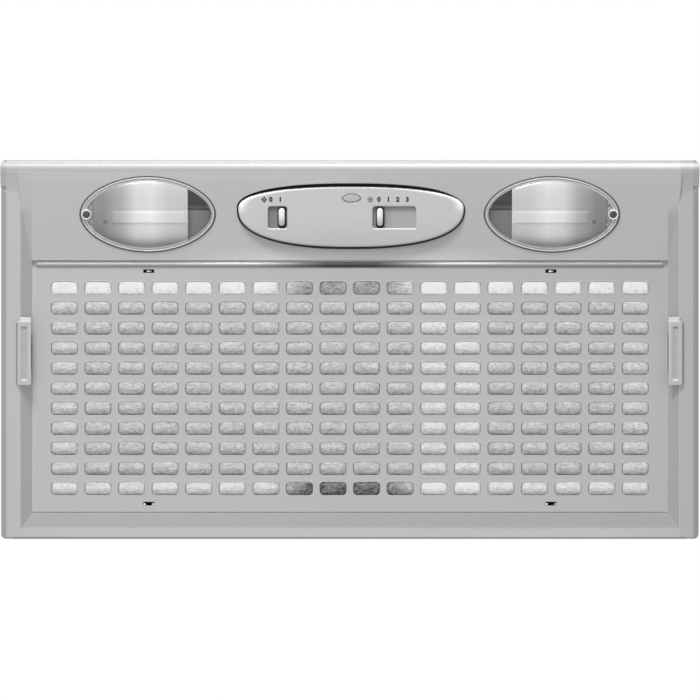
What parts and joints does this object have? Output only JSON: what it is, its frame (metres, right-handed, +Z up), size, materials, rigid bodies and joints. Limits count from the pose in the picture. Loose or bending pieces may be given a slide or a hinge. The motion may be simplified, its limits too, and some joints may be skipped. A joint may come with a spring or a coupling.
{
  "type": "built-in range hood",
  "caption": "Built-in range hood insert: grey moulded underside with slotted swing-down filter grille, side catches, two lamps, slide controls, blower box and round duct collar.",
  "frame": {"origin": "middle of the cabinet cut-out, on the plane where the flange lies against the cabinet's underside", "axes": "+Z up into the cabinet, -Y towards the front edge with the lamps and controls, +X to the right as seen from the front"},
  "size_m": [0.525, 0.285, 0.1995],
  "materials": {
    "grey_moulding": "satin, light grey",
    "plate_silver": "fine silver paint",
    "steel_sheet": "galvanised",
    "spring_steel": "bright",
    "screw_steel": "bright",
    "mat_fibre": "white non-woven",
    "lens_frosted": "ribbed, frosted",
    "bulb_glass": "opal",
    "indicator": "translucent",
    "white_ceramic": "matt",
    "housing_metal": "dull",
    "dark_plastic": "matt",
    "motor_metal": "satin",
    "flap_metal": "dull",
    "black_rubber": "matt",
    "white_plastic": "satin"
  },
  "bodies": {
    "hood": {"underside_frame": "grey_moulding", "casing": "steel_sheet", "casing_top": "steel_sheet", "partition": "steel_sheet", "left_catch_guide": "dark_plastic", "right_catch_guide": "dark_plastic", "left_catch_spring": "spring_steel", "right_catch_spring": "spring_steel", "control_plate": "plate_silver", "indicator_lens": "indicator", "light_switch": "dark_plastic", "speed_switch": "dark_plastic", "switch_carrier": "dark_plastic", "left_lens": "lens_frosted", "right_lens": "lens_frosted", "lens_screws": "screw_steel", "left_lamp_housing": "housing_metal", "right_lamp_housing": "housing_metal", "left_lampholder": "white_ceramic", "right_lampholder": "white_ceramic", "left_bulb": "bulb_glass", "right_bulb": "bulb_glass", "scroll_wrapper": "steel_sheet", "left_side_plate": "steel_sheet", "right_side_plate": "steel_sheet", "motor": "motor_metal", "motor_bracket": "steel_sheet", "motor_mounts": "black_rubber", "duct_collar": "dark_plastic", "flap_pin": "screw_steel", "cabinet_clips": "spring_steel", "casing_screws": "screw_steel", "collar_screws": "screw_steel", "bracket_screws": "screw_steel", "guide_screws": "screw_steel", "capacitor": "white_plastic", "terminal_block": "white_plastic", "cable_gland": "dark_plastic"},
    "grille": {"filter_grille": "grey_moulding", "filter_mat": "mat_fibre", "left_mat_wire": "spring_steel", "right_mat_wire": "spring_steel", "hinge_pins": "spring_steel"},
    "left_catch": {"left_catch": "grey_moulding"},
    "right_catch": {"right_catch": "grey_moulding"},
    "light_knob": {"light_knob": "plate_silver"},
    "speed_knob": {"speed_knob": "plate_silver"},
    "impeller": {"impeller": "dark_plastic", "left_blades": "dark_plastic", "right_blades": "dark_plastic", "left_end_ring": "dark_plastic", "right_end_ring": "dark_plastic", "motor_shaft": "screw_steel"},
    "front_flap": {"front_flap": "flap_metal"},
    "rear_flap": {"rear_flap": "flap_metal"}
  },
  "joints": [
    {"name": "grille_hinge", "type": "hinge", "parent": "hood", "child": "grille", "pos_m": [0, 0.1175, 0.0015], "axis": [1, 0, 0], "range_deg": [0, 80]},
    {"name": "left_catch_slide", "type": "slide", "parent": "hood", "child": "left_catch", "axis": [-1, 0, 0], "range_m": [0, 0.003], "stiffness_N_per_m": 400, "springref_m": -0.004, "deforming": ["left_catch_spring"]},
    {"name": "right_catch_slide", "type": "slide", "parent": "hood", "child": "right_catch", "axis": [1, 0, 0], "range_m": [0, 0.003], "stiffness_N_per_m": 400, "springref_m": -0.004, "deforming": ["right_catch_spring"]},
    {"name": "light_slide", "type": "slide", "parent": "hood", "child": "light_knob", "axis": [-1, 0, 0], "range_m": [0, 0.0071]},
    {"name": "speed_slide", "type": "slide", "parent": "hood", "child": "speed_knob", "axis": [1, 0, 0], "range_m": [0, 0.0213]},
    {"name": "impeller_spin", "type": "hinge", "parent": "hood", "child": "impeller", "pos_m": [0, 0.014, 0.0882], "axis": [1, 0, 0], "continuous": true},
    {"name": "front_flap_hinge", "type": "hinge", "parent": "hood", "child": "front_flap", "pos_m": [0, 0.06, 0.1594], "axis": [-1, 0, 0], "range_deg": [0, 80]},
    {"name": "rear_flap_hinge", "type": "hinge", "parent": "hood", "child": "rear_flap", "pos_m": [0, 0.06, 0.1594], "axis": [1, 0, 0], "range_deg": [0, 80]}
  ]
}
